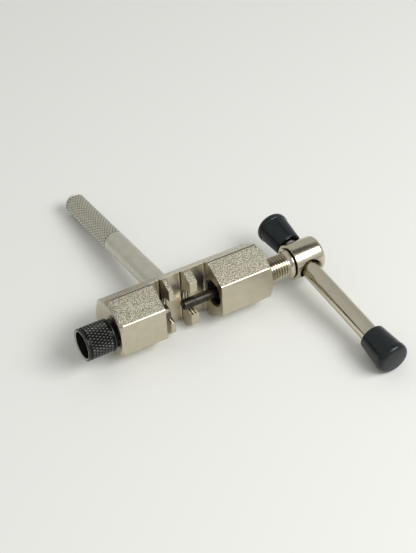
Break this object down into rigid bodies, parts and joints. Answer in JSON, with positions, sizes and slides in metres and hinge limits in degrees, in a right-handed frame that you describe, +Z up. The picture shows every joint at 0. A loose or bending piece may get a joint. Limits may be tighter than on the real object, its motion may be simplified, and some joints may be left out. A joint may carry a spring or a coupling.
{
  "type": "chain tool",
  "caption": "Bicycle chain tool: hexagonal body with a notched chain cradle, press screw with sliding tommy bar, hollow support screw with knurled knob, and a rod handle",
  "frame": {"origin": "middle of the bounding box in X and Y, on the surface that the tool lies on", "axes": "X runs along the press screw towards its head, Y runs to the rear along the handle, Z is up"},
  "size_m": [0.0868, 0.1264, 0.0207],
  "materials": {
    "satin_nickel": "satin nickel plate over milled and as-drawn steel",
    "dull_nickel": "matt nickel plate, knurled outer half",
    "bright_nickel": "bright nickel plate over turned steel",
    "black_steel": "black oxide",
    "brown_steel": "hardened and oiled, brown-black",
    "black_plastic": "semi-gloss"
  },
  "bodies": {
    "frame": {"tool_body": "satin_nickel", "handle_rod": "dull_nickel"},
    "pin_carriage": {"drive_pin": "brown_steel"},
    "turning_screw": {"press_screw": "bright_nickel", "pin_cap": "black_steel"},
    "sliding_bar": {"tommy_bar": "bright_nickel", "bar_cap_front": "black_plastic", "bar_cap_rear": "black_plastic"},
    "support_stud": {"support_screw": "black_steel"},
    "turning_knob": {"support_knob": "black_steel"}
  },
  "joints": [
    {"name": "screw_feed", "type": "slide", "parent": "frame", "child": "pin_carriage", "axis": [-1, 0, 0], "range_m": [-0.007, 0.0065]},
    {"name": "screw_turn", "type": "hinge", "parent": "pin_carriage", "child": "turning_screw", "pos_m": [-0.00852, -0.01194, 0.0106], "axis": [-1, 0, 0], "range_deg": [-2524, 2344]},
    {"name": "bar_slide", "type": "slide", "parent": "turning_screw", "child": "sliding_bar", "axis": [0, 0.9954, 0.0958], "range_m": [-0.0008, 0.033]},
    {"name": "support_feed", "type": "slide", "parent": "frame", "child": "support_stud", "axis": [1, 0, 0], "range_m": [-0.01, 0.0008]},
    {"name": "support_turn", "type": "hinge", "parent": "support_stud", "child": "turning_knob", "pos_m": [-0.00852, -0.01194, 0.0106], "axis": [1, 0, 0], "range_deg": [-3605, 293]}
  ],
  "couplings": [
    {"joint": "screw_turn", "follows": "screw_feed", "rad_per_m": 6283.2},
    {"joint": "support_turn", "follows": "support_feed", "rad_per_m": 6283.2}
  ]
}
